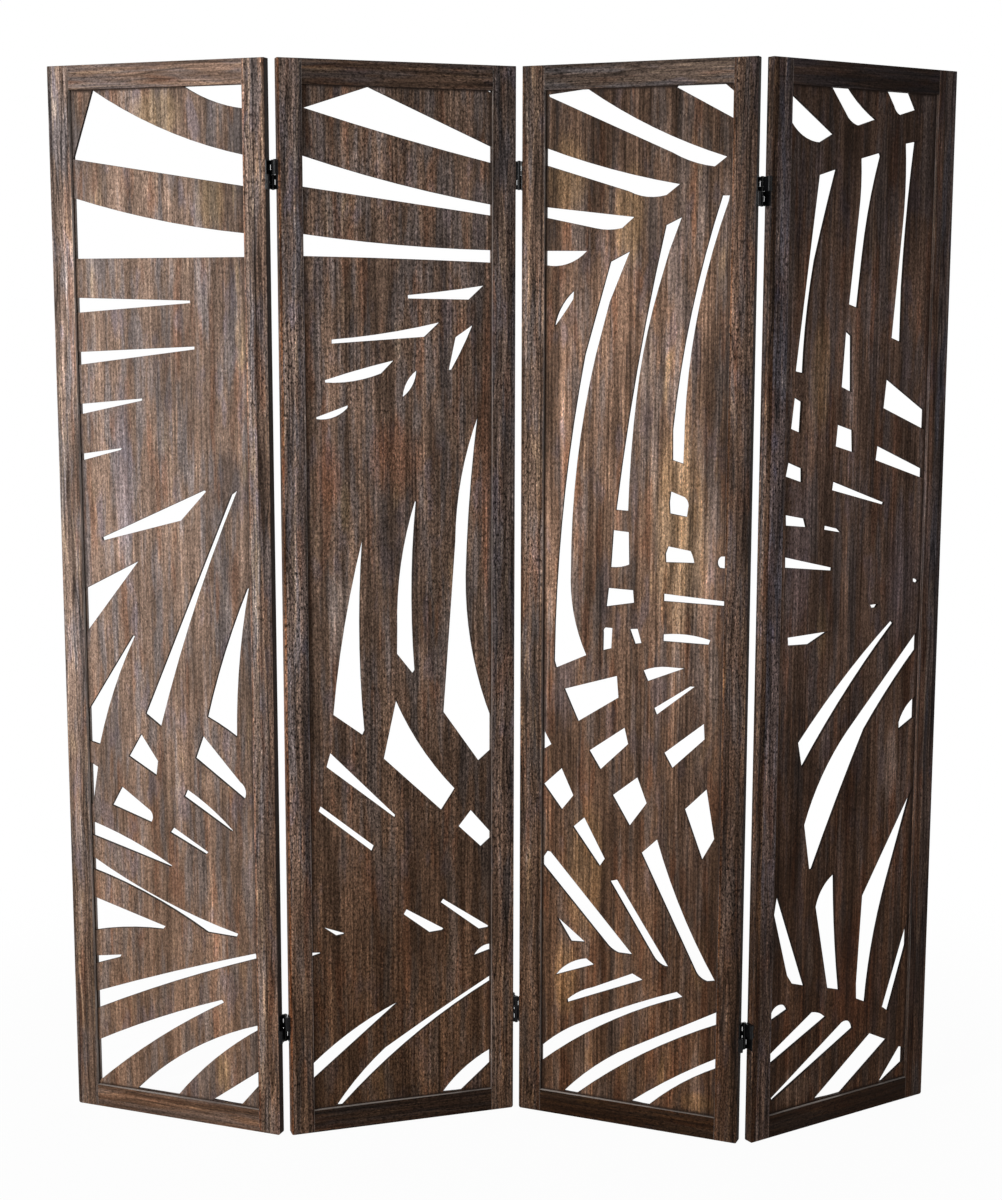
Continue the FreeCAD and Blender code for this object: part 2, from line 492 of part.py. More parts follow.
def make_board(panel):
    """The thin pierced board. It stands in the bottom rail's groove, with room to swell above and beside."""
    body = new_body(panel + "_pierced_board")
    slab(body, "Pad", "Board", "memberWidth - grooveDepth + boardSideGap", "memberWidth - grooveDepth",
         openingWidth + " + 2 * (grooveDepth - boardSideGap)",
         openingHeight + " + 2 * grooveDepth - boardSideGap",
         "(frameDepth - boardThickness) / 2", "boardThickness")
    sketch = new_sketch(body, "LeavesSketch", "front", "memberWidth", "memberWidth", "0")
    for shares in leafShares[panel]:
        draw_outline(sketch, shares)
    feature(body, "Pocket", "Leaves", sketch, None, False)
    return body


# Round and square bar stock for the hardware, with every size and place bound to the sheet

def place_at(thing, x, y, z):
    bind(thing, "Placement.Base.x", x)
    bind(thing, "Placement.Base.y", y)
    bind(thing, "Placement.Base.z", z)


def make_box(name, x, y, z, length, width, height):
    box = doc.addObject("Part::Box", name)
    bind(box, "Length", length)
    bind(box, "Width", width)
    bind(box, "Height", height)
    place_at(box, x, y, z)
    return box


def make_rod(name, x, y, z, radius, height, along=None):
    rod = doc.addObject("Part::Cylinder", name)
    bind(rod, "Radius", radius)
    bind(rod, "Height", height)
    if along:
        rod.Placement.Rotation = along
    place_at(rod, x, y, z)
    return rod


def make_cone(name, x, y, z, lower, upper, height, along=None):
    cone = doc.addObject("Part::Cone", name)
    bind(cone, "Radius1", lower)
    bind(cone, "Radius2", upper)
    bind(cone, "Height", height)
    if along:
        cone.Placement.Rotation = along
    place_at(cone, x, y, z)
    return cone


def join(name, pieces):
    fused = doc.addObject("Part::MultiFuse", name)
    fused.Shapes = pieces
    return fused


def cut(name, base, tools):
    tool = tools[0] if len(tools) == 1 else join(name + "Tools", tools)
    made = doc.addObject("Part::Cut", name)
    made.Base = base
    made.Tool = tool
    return made


def copy_of(master, name, placement):
    """One more of a piece that is made once, set down at a place of its own."""
    copy = doc.addObject("Part::Compound", name)
    copy.Label = name
    copy.Links = [master]
    copy.Placement = placement
    return copy


def group(name, pieces):
    """Like pieces kept together as separate solids."""
    gathered = doc.addObject("Part::Compound", name)
    gathered.Label = name
    gathered.Links = pieces
    return gathered


# The two-way hinge, drawn about its own centre: x across the gap, y front to back, z up.
# Each half of its height has a knuckle row on the front axis and one on the back axis,
# of three knuckles each: leaf, link, leaf.

axisReach = "(frameDepth / 2 + barrelProud)"
halfHeight = "(hingeHeight / 2)"
rowStart = "(knuckleGap / 2)"
knuckleHeight = "((hingeHeight / 2 - knuckleGap / 2 - 2 * knuckleGap) / 3)"
pinBore = "(pinRadius + pinSlack)"
alongX = Rotation(Vector(0, 1, 0), 90)


def knuckle_base(number, upper):
    """The lower end of knuckle 0, 1 or 2 of a row, counted away from the hinge's middle."""
    step = rowStart + " + " + str(number) + " * (" + knuckleHeight + " + knuckleGap)"
    if upper:
        return step
    return "-(" + step + " + " + knuckleHeight + ")"


def make_leaf():
    """The leaf of the left-hand panel: upper knuckles on the back axis, lower ones on the front axis."""
    plate = make_box("LeafPlate", "-panelGap / 2", "-frameDepth / 2 + leafSetIn", "-hingeHeight / 2",
                     "leafThickness", "frameDepth - 2 * leafSetIn", "hingeHeight")
    pieces = [plate]
    bores = []
    for upper in (True, False):
        row = "Upper" if upper else "Lower"
        axis = axisReach if upper else "-" + axisReach
        for number in (0, 2):
            base = knuckle_base(number, upper)
            tag = row + str(number)
            pieces.append(make_rod("LeafKnuckle" + tag, "0", axis, base, "barrelRadius", knuckleHeight))
            pieces.append(make_box("LeafWeb" + tag, "-panelGap / 2", axis + " - leafThickness / 2", base,
                                   "panelGap / 2", "leafThickness", knuckleHeight))
            reach = "barrelProud + leafSetIn + leafThickness / 2"
            start = "frameDepth / 2 - leafSetIn"
            if not upper:
                start = "-(" + start + ") - (" + reach + ")"
            pieces.append(make_box("LeafTurn" + tag, "-panelGap / 2", start, base,
                                   "leafThickness", reach, knuckleHeight))
        foot = "0" if upper else "-" + halfHeight
        bores.append(make_rod("LeafBore" + row, "0", axis, foot, pinBore, halfHeight))
    outer = "-panelGap / 2 + leafThickness"
    for number, step in enumerate(("-screwPitch", "0", "screwPitch")):
        bores.append(make_rod("LeafHole%d" % number, "-panelGap / 2 - leafThickness", "0", step, screwBore,
                              "3 * leafThickness", alongX))
        bores.append(make_cone("LeafSink%d" % number, outer + " - screwHeadHeight - screwSlack", "0", step,
                               screwBore, "screwHeadRadius + screwSlack",
                               "screwHeadHeight + screwSlack", alongX))
    return cut("HingeLeaf", join("LeafStock", pieces), bores)


def make_link():
    """The link of the upper half: a plate between one knuckle on the front axis and one on the back axis."""
    inside = "(" + axisReach + " - barrelRadius - barrelClearance)"
    base = knuckle_base(1, True)
    pieces = [
        make_box("LinkCore", "-linkThickness / 2", "-" + inside, rowStart,
                 "linkThickness", "2 * " + inside, halfHeight + " - " + rowStart),
        make_box("LinkBand", "-linkThickness / 2", "-" + axisReach, base,
                 "linkThickness", "2 * " + axisReach, knuckleHeight),
    ]
    bores = []
    for side, axis in (("Front", "-" + axisReach), ("Back", axisReach)):
        pieces.append(make_rod("LinkKnuckle" + side, "0", axis, base, "barrelRadius", knuckleHeight))
        bores.append(make_rod("LinkBore" + side, "0", axis, "0", pinBore, halfHeight))
    return cut("HingeLink", join("LinkStock", pieces), bores)


def make_pin():
    """The pin of one upper knuckle row, headed at its top end."""
    rod = make_rod("PinRod", "0", "0", rowStart, "pinRadius", halfHeight + " - " + rowStart)
    head = make_rod("PinHead", "0", "0", halfHeight, "pinHeadRadius", "pinHeadHeight")
    return join("HingePin", [rod, head])


def make_screw():
    """A countersunk cross-head screw: the head's face at z = 0, the shank down from it."""
    head = make_cone("ScrewHead", "0", "0", "-screwHeadHeight", "screwShankRadius", "screwHeadRadius",
                     "screwHeadHeight")
    shank = make_rod("ScrewShank", "0", "0", "-(screwLength - screwTipLength)", "screwShankRadius",
                     "screwLength - screwTipLength - screwHeadHeight")
    tip = make_cone("ScrewTip", "0", "0", "-screwLength", "screwShankRadius / 8", "screwShankRadius",
                    "screwTipLength")
    slots = [
        make_box("ScrewSlotLong", "-driveSlotLength / 2", "-driveSlotWidth / 2", "-driveSlotDepth",
                 "driveSlotLength", "driveSlotWidth", "2 * driveSlotDepth"),
        make_box("ScrewSlotCross", "-driveSlotWidth / 2", "-driveSlotLength / 2", "-driveSlotDepth",
                 "driveSlotWidth", "driveSlotLength", "2 * driveSlotDepth"),
    ]
    return cut("HingeScrew", join("ScrewStock", [head, shank, tip]), slots)


def make_dowel():
    """A dowel lying along x, its middle at the origin."""
    return make_rod("CornerDowel", "-dowelLength / 2", "0", "0", "dowelRadius", "dowelLength", alongX)


# Build every piece

panels = ["panel_1", "panel_2", "panel_3", "panel_4"]
members = {panel: [] for panel in panels}

leaf = make_leaf()
link = make_link()
pin = make_pin()
screw = make_screw()
dowel = make_dowel()
doc.recompute()

halfTurn = Rotation(Vector(0, 0, 1), 180)
upsideDown = Rotation(Vector(1, 0, 0), 180)
headRight = Rotation(Vector(0, 1, 0), 90)
headLeft = Rotation(Vector(0, 1, 0), -90)
straight = Rotation()

width = size("panelWidth")
height = size("panelHeight")
depth = size("frameDepth")
gap = size("panelGap")
reach = size(axisReach)

for panel in panels:
    members[panel].append(make_stile(panel, "left"))
    members[panel].append(make_stile(panel, "right"))
    members[panel].append(make_rail(panel, "top"))
    members[panel].append(make_rail(panel, "bottom"))
    members[panel].append(make_board(panel))
    dowels = []
    member = size("memberWidth")
    for x in (member, width - member):
        for rise in (size(dowelRise), size(dowelRise + " + " + dowelSpacing)):
            for z in (rise, height - rise):
                spot = Placement(Vector(x, depth / 2, z), straight)
                dowels.append(copy_of(dowel, "%s_dowel_%d" % (panel, len(dowels) + 1), spot))
    members[panel].append(group(panel + "_corner_dowels", dowels))

screws = {panel: [] for panel in panels}
leafFace = gap / 2 - size("leafThickness")
linkDrop = size(halfHeight + " + " + rowStart)
for joint, (leftPanel, rightPanel, which, fold) in joints.items():
    # the joint's centre in the space of the panel on each side of it
    centres = {leftPanel: width + gap / 2, rightPanel: -gap / 2}
    pins = {leftPanel: [], rightPanel: []}
    for level, text in hinge_levels(which).items():
        z = size(text)
        name = joint + "_" + level

        for panel, facing, tag in ((leftPanel, straight, "left"), (rightPanel, halfTurn, "right")):
            centre = Vector(centres[panel], depth / 2, z)
            members[panel].append(copy_of(leaf, name + "_leaf_" + tag, Placement(centre, facing)))
            side = -1 if tag == "left" else 1
            for step in (-1, 0, 1):
                spot = centre + Vector(side * leafFace, 0, step * size("screwPitch"))
                turn = headRight if tag == "left" else headLeft
                serial = len(screws[panel]) + 1
                screws[panel].append(copy_of(screw, "%s_screw_%d" % (panel, serial), Placement(spot, turn)))
            # the left leaf has its upper pin at the back and its lower pin in front, the right one vice versa
            upperSpot = centre - Vector(0, side * reach, 0)
            lowerSpot = centre + Vector(0, side * reach, 0)
            serial = len(pins[panel]) + 1
            stem = "%s_%s_pin_" % (joint, tag)
            pins[panel].append(copy_of(pin, stem + str(serial), Placement(upperSpot, straight)))
            pins[panel].append(copy_of(pin, stem + str(serial + 1), Placement(lowerSpot, upsideDown)))

        # a fold about the back axis carries the upper link with the right panel and the lower with the left
        upperRider, lowerRider = (rightPanel, leftPanel) if fold == "back" else (leftPanel, rightPanel)
        spot = Vector(centres[upperRider], depth / 2, z)
        members[upperRider].append(copy_of(link, name + "_link_upper", Placement(spot, straight)))
        spot = Vector(centres[lowerRider], depth / 2, z - linkDrop)
        members[lowerRider].append(copy_of(link, name + "_link_lower", Placement(spot, straight)))
    members[leftPanel].append(group(joint + "_pins_left", pins[leftPanel]))
    members[rightPanel].append(group(joint + "_pins_right", pins[rightPanel]))

for panel in panels:
    members[panel].append(group(panel + "_hinge_screws", screws[panel]))

doc.recompute()


# Stand the panels in their zigzag. Each joint turns about the pins of one axis, front or back.

turns = {
    "panel_1": -size("turnFirst"),
    "panel_2": size("turnSecond"),
    "panel_3": -size("turnThird"),
    "panel_4": size("turnFourth"),
}


def stand(panel, local, world):
    """The placement that turns a panel to its angle and lays the panel's point local on the point world."""
    turn = Rotation(Vector(0, 0, 1), turns[panel])
    return Placement(world - turn.multVec(local), turn)


def axis_point(side, fold):
    """A joint's pin line in the space of the panel on its left or right."""
    x = width + gap / 2 if side == "left" else -gap / 2
    y = depth / 2 + (reach if fold == "back" else -reach)
    return Vector(x, y, 0)


standing = {"panel_2": stand("panel_2", axis_point("left", "front"), Vector(0, 0, 0))}
firstFold = joints["joint_12"][3]
standing["panel_1"] = stand("panel_1", axis_point("left", firstFold),
                            standing["panel_2"].multVec(axis_point("right", firstFold)))
standing["panel_3"] = stand("panel_3", axis_point("right", "front"), Vector(0, 0, 0))
lastFold = joints["joint_34"][3]
standing["panel_4"] = stand("panel_4", axis_point("right", lastFold),
                            standing["panel_3"].multVec(axis_point("left", lastFold)))

# The footprint: the panels' rounded corners, and the barrels that stand out from them at the joints
barrel = size("barrelRadius")
eased = size("easedEdge")
reaches = []
for panel in panels:
    for x in (eased, width - eased):
        for y in (eased, depth - eased):
            reaches.append((standing[panel].multVec(Vector(x, y, 0)), eased))
for leftPanel, rightPanel, _, _ in joints.values():
    for fold in ("front", "back"):
        reaches.append((standing[leftPanel].multVec(axis_point("left", fold)), barrel))
        reaches.append((standing[rightPanel].multVec(axis_point("right", fold)), barrel))
middleX = (min(p.x - r for p, r in reaches) + max(p.x + r for p, r in reaches)) / 2
middleY = (min(p.y - r for p, r in reaches) + max(p.y + r for p, r in reaches)) / 2
shift = Vector(-middleX, -middleY, 0)

nodes = []
for panel in panels:
    home = standing[panel]
    place = Placement(home.Base + shift, home.Rotation)
    for piece in members[panel]:
        piece.Placement = place.multiply(piece.Placement)
        nodes.append(piece)
doc.recompute()


# Check the whole document, then write one file per piece

for thing in doc.Objects:
    if "Invalid" in thing.State or "Error" in thing.State:
        raise RuntimeError("failed: " + thing.Name + " " + str(thing.State))
for piece in nodes:
    if piece.Shape.isNull() or not piece.Shape.isValid() or not piece.Shape.Solids:
        raise RuntimeError("bad shape: " + piece.Label)
for piece in nodes:
    piece.Shape.exportStep("parts/" + piece.Label + ".step")
print("pieces written:", len(nodes))

for joint, (leftPanel, rightPanel, _, fold) in joints.items():
    line = standing[leftPanel].multVec(axis_point("left", fold)) + shift
    opened = turns[rightPanel] - turns[leftPanel]
    print(joint, "axis x %.3f y %.3f mm, turned %.1f degrees from flat" % (line.x, line.y, opened))
for panel in panels:
    base = standing[panel].Base + shift
    print(panel, "origin x %.3f y %.3f mm, turned %.1f degrees" % (base.x, base.y, turns[panel]))
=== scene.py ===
import math

import bpy
from mathutils import Matrix, Vector

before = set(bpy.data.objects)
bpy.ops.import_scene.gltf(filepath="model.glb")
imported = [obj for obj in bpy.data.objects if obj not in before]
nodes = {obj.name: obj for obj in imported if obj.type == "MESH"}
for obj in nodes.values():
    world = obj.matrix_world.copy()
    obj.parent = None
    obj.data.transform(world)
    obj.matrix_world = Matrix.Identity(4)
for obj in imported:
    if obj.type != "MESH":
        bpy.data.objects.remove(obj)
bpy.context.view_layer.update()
print("stage 1: frame loaded,", len(nodes), "solid pieces")

# Sizes that the wood's pattern follows, in metres, as in the solid model
panel = {
    "height": 1.8,
    "width": 0.4,
    "member": 0.04,
}

# Each panel, and how the torch and the brush left it. Tones multiply the wood's colour. Besides the wood's
# own tone they hold painted shade and sheen: the panels turned from the softbox are darker, right stiles are
# darker than left ones, and stiles are lighter than rails by a painted sheen of their upright grain.
# corner, turn and seed: its lower left front corner, how far it is turned, where its grain starts
# stiles: tones of the left and right stile, each at its foot, middle and top
# rails: tones of the top and bottom rail, each at its left and right
# board and lean: tones of the board at its top, middle and foot, and on its left, middle and right
# grit: how rough the left stile, the right stile, the board and the rails are
# cast and warmth: the tint of each kind of piece (foot is the bottom rail), and how much redder its foot is,
# a painted sheen that leaves the upper parts greyer
# figure and gold: how strong the board's streaks and the golden patches are; the golden patches are partly a
# painted satin sheen, weaker on the panels turned from the softbox
# outer sides: how dark the outer sides are painted, left and right: soot, and on the right, turned from the
# softbox, mostly painted shade
# inner sides: how much paler the sides towards the board are painted, left and right, as painted light
# zones: strips of the stiles as (from, to, tint), measured across the panel; some are pale lines painted as
# highlights along edges that face the softbox
# marks: spots on the board as (kind, across, up, half width, half height)
panels = {
    "panel_1": {
        "corner": (-0.757415, 0.056786), "turn": -20.5, "seed": 3.0,
        "stiles": ((0.62, 1.22, 0.84), (0.68, 0.62, 0.60)), "rails": ((0.64, 0.86), (0.66, 0.56)),
        "board": (0.86, 1.04, 0.90), "lean": (1.10, 1.04, 0.80), "grit": (0.70, 0.92, 0.60, 0.60),
        "cast": {"stile": (1.0, 1.02, 1.03), "rail": (1.0, 0.94, 0.88), "foot": (1.0, 0.86, 0.72),
                 "board": (1.0, 0.99, 0.96)},
        "warmth": 0.60, "figure": 0.52, "gold": 1.0, "sidesSootAndShade": (0.30, 0.96), "inner": (0.9, 0.3),
        "zones": [(0.360, 0.3635, (1.35, 1.12, 1.00)), (0.3635, 0.378, (1.16, 1.18, 1.20)),
                  (0.378, 0.381, (0.45, 0.42, 0.40)), (0.381, 0.400, (0.98, 0.90, 0.84)),
                  (0.000, 0.006, (0.80, 0.82, 0.84))],
        "marks": [("glow", 0.20, 1.72, 0.05, 0.04), ("glow", 0.30, 1.58, 0.025, 0.06),
                  ("soot", 0.325, 1.12, 0.025, 0.06), ("ash", 0.12, 1.14, 0.02, 0.16)],
    },
    "panel_2": {
        "corner": (-0.362232, -0.083745), "turn": 18.0, "seed": 17.0,
        "stiles": ((0.62, 0.80, 0.56), (0.66, 0.58, 0.52)), "rails": ((0.34, 0.44), (0.18, 0.13)),
        "board": (0.64, 0.78, 0.52), "lean": (1.06, 0.97, 1.10), "grit": (1.12, 1.05, 0.90, 0.90),
        "cast": {"stile": (1.0, 1.0, 1.02), "rail": (1.0, 0.90, 0.81), "foot": (1.0, 0.98, 1.02),
                 "board": (1.0, 0.94, 0.87)},
        "warmth": 1.0, "figure": 0.88, "gold": 0.8, "sidesSootAndShade": (0.30, 0.92), "inner": (0.35, 0.3),
        "zones": [(0.000, 0.004, (1.30, 0.88, 0.60)), (0.004, 0.029, (1.10, 1.12, 1.14)),
                  (0.029, 0.040, (0.70, 0.74, 0.80)), (0.386, 0.400, (0.85, 0.88, 0.92))],
        "marks": [("rust", 0.078, 1.13, 0.024, 0.06), ("glow", 0.106, 1.08, 0.008, 0.055),
                  ("rust", 0.19, 1.16, 0.045, 0.07), ("soot", 0.20, 1.02, 0.05, 0.07),
                  ("scuffAndSheen", 0.098, 0.89, 0.020, 0.09), ("scuffAndSheen", 0.27, 1.22, 0.012, 0.05),
                  ("rust", 0.350, 1.20, 0.010, 0.28)],
    },
    "panel_3": {
        "corner": (0.028119, 0.039472), "turn": -22.5, "seed": 29.0,
        "stiles": ((0.42, 0.72, 0.52), (0.38, 0.68, 0.40)), "rails": ((0.30, 0.48), (0.155, 0.13)),
        "board": (0.42, 0.90, 0.48), "lean": (1.04, 1.04, 0.97), "grit": (1.00, 1.05, 0.65, 0.80),
        "cast": {"stile": (1.0, 0.95, 0.89), "rail": (1.0, 1.03, 1.04), "foot": (1.0, 0.69, 0.37),
                 "board": (1.04, 0.92, 0.80)},
        "warmth": 0.80, "figure": 1.0, "gold": 1.15, "sidesSootAndShade": (0.30, 0.96), "inner": (0.6, 0.3),
        "zones": [(0.034, 0.0365, (0.45, 0.40, 0.38)), (0.000, 0.006, (0.85, 0.78, 0.72)),
                  (0.360, 0.364, (1.20, 0.92, 0.72)), (0.364, 0.384, (1.12, 1.05, 1.02)),
                  (0.386, 0.400, (0.62, 0.60, 0.60))],
        "marks": [("glow", 0.28, 1.05, 0.05, 0.18), ("glow", 0.12, 0.45, 0.04, 0.12),
                  ("glow", 0.33, 0.060, 0.035, 0.020), ("glow", 0.085, 0.25, 0.022, 0.07),
                  ("glow", 0.075, 1.62, 0.045, 0.07), ("glow", 0.19, 1.56, 0.030, 0.08),
                  ("scuffAndSheen", 0.22, 1.33, 0.012, 0.10), ("soot", 0.31, 0.60, 0.03, 0.25),
                  ("ash", 0.080, 0.80, 0.020, 0.12), ("ash", 0.15, 0.93, 0.014, 0.08)],
    },
    "panel_4": {
        "corner": (0.422062, -0.111360), "turn": 33.0, "seed": 41.0,
        "stiles": ((0.52, 0.74, 0.40), (0.28, 0.50, 0.33)), "rails": ((0.31, 0.15), (0.15, 0.11)),
        "board": (0.43, 0.78, 0.43), "lean": (0.99, 0.97, 1.06), "grit": (1.10, 0.70, 0.70, 0.70),
        "cast": {"stile": (1.0, 1.01, 1.04), "rail": (1.0, 0.92, 0.93), "foot": (1.0, 0.87, 0.78),
                 "board": (1.0, 0.88, 0.81)},
        "warmth": 0.9, "figure": 0.9, "gold": 0.45, "sidesSootAndShade": (0.20, 0.92), "inner": (0.3, 0.05),
        "zones": [(0.000, 0.011, (0.74, 0.62, 0.52)), (0.011, 0.040, (1.06, 1.12, 1.30)),
                  (0.360, 0.374, (1.12, 0.92, 0.82)), (0.376, 0.400, (0.92, 0.96, 1.06))],
        "marks": [("scuffAndSheen", 0.30, 0.62, 0.02, 0.06), ("glow", 0.12, 1.30, 0.02, 0.10),
                  ("scuffAndSheen", 0.10, 0.075, 0.05, 0.035), ("scuffAndSheen", 0.13, 0.30, 0.008, 0.06),
                  ("glow", 0.135, 0.87, 0.014, 0.06), ("ash", 0.315, 0.95, 0.040, 0.14),
                  ("ash", 0.080, 1.00, 0.030, 0.14), ("rust", 0.24, 0.25, 0.060, 0.14)],
    },
}


class Wire:
    # one socket in a shader, so that shader maths is written as sums
    def __init__(self, tree, socket=None):
        self.tree = tree
        self.socket = socket

    def node(self, kind, settings=None, inputs=None, output=0):
        made = self.tree.nodes.new("ShaderNode" + kind)
        for name, value in (settings or {}).items():
            setattr(made, name, value)
        for name, value in (inputs or {}).items():
            if isinstance(value, Wire):
                self.tree.links.new(value.socket, made.inputs[name])
            else:
                made.inputs[name].default_value = value
        return Wire(self.tree, made.outputs[output] if len(made.outputs) else None)

    def math(self, operation, *others):
        return self.node("Math", {"operation": operation}, dict(enumerate((self,) + others)))

    def __add__(self, other):
        return self.math("ADD", other)

    def __sub__(self, other):
        return self.math("SUBTRACT", other)

    def __rsub__(self, other):
        return self.node("Math", {"operation": "SUBTRACT"}, {0: other, 1: self})

    def __mul__(self, other):
        return self.math("MULTIPLY", other)

    def __truediv__(self, other):
        return self.math("DIVIDE", other)

    __radd__ = __add__
    __rmul__ = __mul__

    def size(self):
        return self.math("ABSOLUTE")

    def larger(self, other):
        return self.math("MAXIMUM", other)

    def between(self, low, high):
        # 0 at low and 1 at high, or the other way round where low is the larger
        inputs = {"Value": self, "From Min": low, "From Max": high}
        return self.node("MapRange", {"interpolation_type": "SMOOTHSTEP"}, inputs)

    def mixed(self, first, second):
        # a colour: first where this is 0, second where it is 1
        first, second = (end if isinstance(end, Wire) else (*end, 1.0) for end in (first, second))
        return self.node("Mix", {"data_type": "RGBA"}, {0: self, 6: first, 7: second}, 2)

    def tinted(self, amount):
        # this colour times a number
        return self.node("VectorMath", {"operation": "SCALE"}, {"Vector": self, "Scale": amount})

    def times(self, other):
        # this colour times another
        return self.node("VectorMath", {"operation": "MULTIPLY"}, {0: self, 1: other})


def newMaterial(name):
    material = bpy.data.materials.new(name)
    material.use_nodes = True
    tree = material.node_tree
    tree.nodes.clear()
    return material, Wire(tree)


def finishMaterial(start, sockets, height, bumpDepth):
    # the surface itself, with a bump made from a height
    sockets["Normal"] = start.node("Bump", None, {"Height": height, "Distance": bumpDepth, "Strength": 1.0})
    surface = start.node("BsdfPrincipled", None, sockets)
    start.node("OutputMaterial", None, {"Surface": surface})


def dress(node, material):
    node.data.materials.clear()
    node.data.materials.append(material)


wood = {
    # colours as they are on the best lit panel
    "brown": (0.257, 0.175, 0.135),
    "red": (0.280, 0.156, 0.107),
    "tan": (0.420, 0.296, 0.182),
    "grey": (0.234, 0.190, 0.180),
    # the char's black, which also paints shadow and shade, and a pale colour for wear and for painted
    # highlights and glints
    "soot": (0.030, 0.020, 0.016),
    "paleWearAndHighlight": (0.56, 0.50, 0.46),
    "violet": (0.224, 0.180, 0.196),
    "chip": (0.62, 0.52, 0.36),
    # how much redder and darker the wood is towards the floor, a painted sheen that leaves the upper parts
    # greyer
    "warmth": (1.02, 0.84, 0.66),
    # how far apart the combed lines of a board are, and how far they stray
    "combedPitch": 0.0063,
    "combedStray": 0.012,
    "bump": 0.0004,
    "roughness": 0.72,
    "specular": 0.06,
    # how far wear reaches in from an edge
    "edge": 0.0011,
}

# The grain of each kind of piece: cells per metre across the grain, how many times longer they are
# along it, and how strongly each layer shows. Wander is how far the grain strays, and how often.
# Combed is how dark the evenly spaced lines are.
grain = {
    "all": {
        "fibres": (900.0, 30.0), "cloud": (9.0, 2.2), "hue": (56.0, 10.0), "flush": (46.0, 8.0),
        "bloom": (34.0, 3.5), "glow": (22.0, 4.0),
    },
    "stile": {
        "wander": (0.012, 9.0), "strips": (34.0, 22.0, 0.50), "bands": (95.0, 40.0, 0.58),
        "lines": (260.0, 40.0, 0.60), "pores": (300.0, 2.6, 0.80), "flecks": (280.0, 2.4, 1.20),
        "veins": (46.0, 30.0, 0.80), "speckle": (400.0, 1.6, 1.10), "hairs": (320.0, 12.0, 0.35),
    },
    "rail": {
        "wander": (0.008, 8.0), "strips": (40.0, 22.0, 0.40), "bands": (110.0, 40.0, 0.50),
        "lines": (250.0, 50.0, 0.40), "pores": (300.0, 2.8, 0.80), "flecks": (290.0, 2.4, 0.90),
        "veins": (60.0, 30.0, 0.60), "speckle": (400.0, 1.6, 0.90), "hairs": (320.0, 12.0, 0.25),
    },
    "board": {
        "wander": (0.006, 6.0), "strips": (24.0, 9.0, 0.55), "bands": (72.0, 40.0, 0.52),
        "lines": (200.0, 80.0, 0.55), "pores": (350.0, 2.4, 0.75), "flecks": (330.0, 2.4, 1.00),
        "veins": (38.0, 30.0, 0.25), "speckle": (430.0, 1.6, 1.10), "hairs": (320.0, 14.0, 0.40),
        "combed": (16.0, 4.0, 0.36), "streaks": (30.0, 9.0),
    },
}

# Where each layer starts in the noise, and how much detail it has
layerStarts = {
    "strips": (0.0, 2.0), "bands": (7.0, 2.0), "lines": (11.0, 2.0), "pores": (3.0, 3.0),
    "flecks": (23.0, 3.0), "speckle": (29.0, 1.0), "hairs": (47.0, 1.0), "fibres": (5.0, 2.0),
    "veins": (19.0, 1.0), "hue": (13.0, 2.0), "flush": (31.0, 2.0), "bloom": (53.0, 2.0),
    "glow": (37.0, 2.0), "cloud": (41.0, 3.0), "combed": (67.0, 1.0), "streaks": (61.0, 1.0),
}
seedOfKind = {"stile": 0.0, "rail": 5.0, "board": 9.0}

# Hues laid over the brown: the colour, the layer it follows, where it starts and is full, and its share
hues = [
    ("grey", "hue", (0.46, 0.62), 1.0),
    ("red", "flush", (0.54, 0.68), 0.8),
    ("violet", "bloom", (0.56, 0.70), 0.7),
]

# Thin veins of the grain: the noise they follow, how wide they are, and how strong
veins = {
    "dark": {"centre": 0.47, "width": 0.022, "strength": 0.75},
    "pale": {"centre": 0.56, "width": 0.018, "strength": 0.55},
    "core": 0.004,
}

# What marks a board here and there: the colour it takes there, how strongly, and how much lighter it is
marks = {
    # glow marks are golden patches, partly a painted satin sheen
    "glow": {"colour": (0.385, 0.268, 0.158), "strength": 0.60, "lift": 1.22},
    # scuffs are pale rubbed spots, and some, as at the foot of panel 4, a painted grey sheen
    "scuffAndSheen": {"colour": (0.44, 0.37, 0.345), "strength": 0.50, "lift": 1.35},
    "rust": {"colour": (0.32, 0.145, 0.085), "strength": 0.50, "lift": 1.05},
    "soot": {"colour": (0.14, 0.105, 0.095), "strength": 0.55, "lift": 0.85},
    "ash": {"colour": (0.218, 0.186, 0.206), "strength": 0.65, "lift": 1.0},
}


def placeInPanel(start, settings):
    # where a point lies in its own panel, and which way its face looks there
    turn = math.radians(settings["turn"])
    cosine, sine = math.cos(turn), math.sin(turn)
    cornerX, cornerY = settings["corner"]
    coordinates = start.node("TexCoord", output="Object")
    normal = start.node("TexCoord", output="Normal")
    x, y, z = (start.node("SeparateXYZ", None, {0: coordinates}, axis) for axis in range(3))
    faceX, faceY, faceZ = (start.node("SeparateXYZ", None, {0: normal}, axis) for axis in range(3))
    return {
        "across": (x - cornerX) * cosine + (y - cornerY) * sine,
        "back": (y - cornerY) * cosine - (x - cornerX) * sine,
        "up": z,
        "faceAcross": faceX * cosine + faceY * sine,
        "faceBack": faceY * cosine - faceX * sine,
        "faceUp": faceZ,
    }


def noiseAt(start, place, shift, size, stretch, detail):
    # noise drawn out along the grain: size is in cells per metre across it
    side, deep, along = place
    parts = {0: (side + shift) * size, 1: deep * size, 2: along * (size / stretch)}
    vector = start.node("CombineXYZ", None, parts)
    inputs = {"Vector": vector, "Scale": 1.0, "Detail": detail, "Roughness": 0.6}
    return start.node("TexNoise", {"noise_dimensions": "3D"}, inputs)


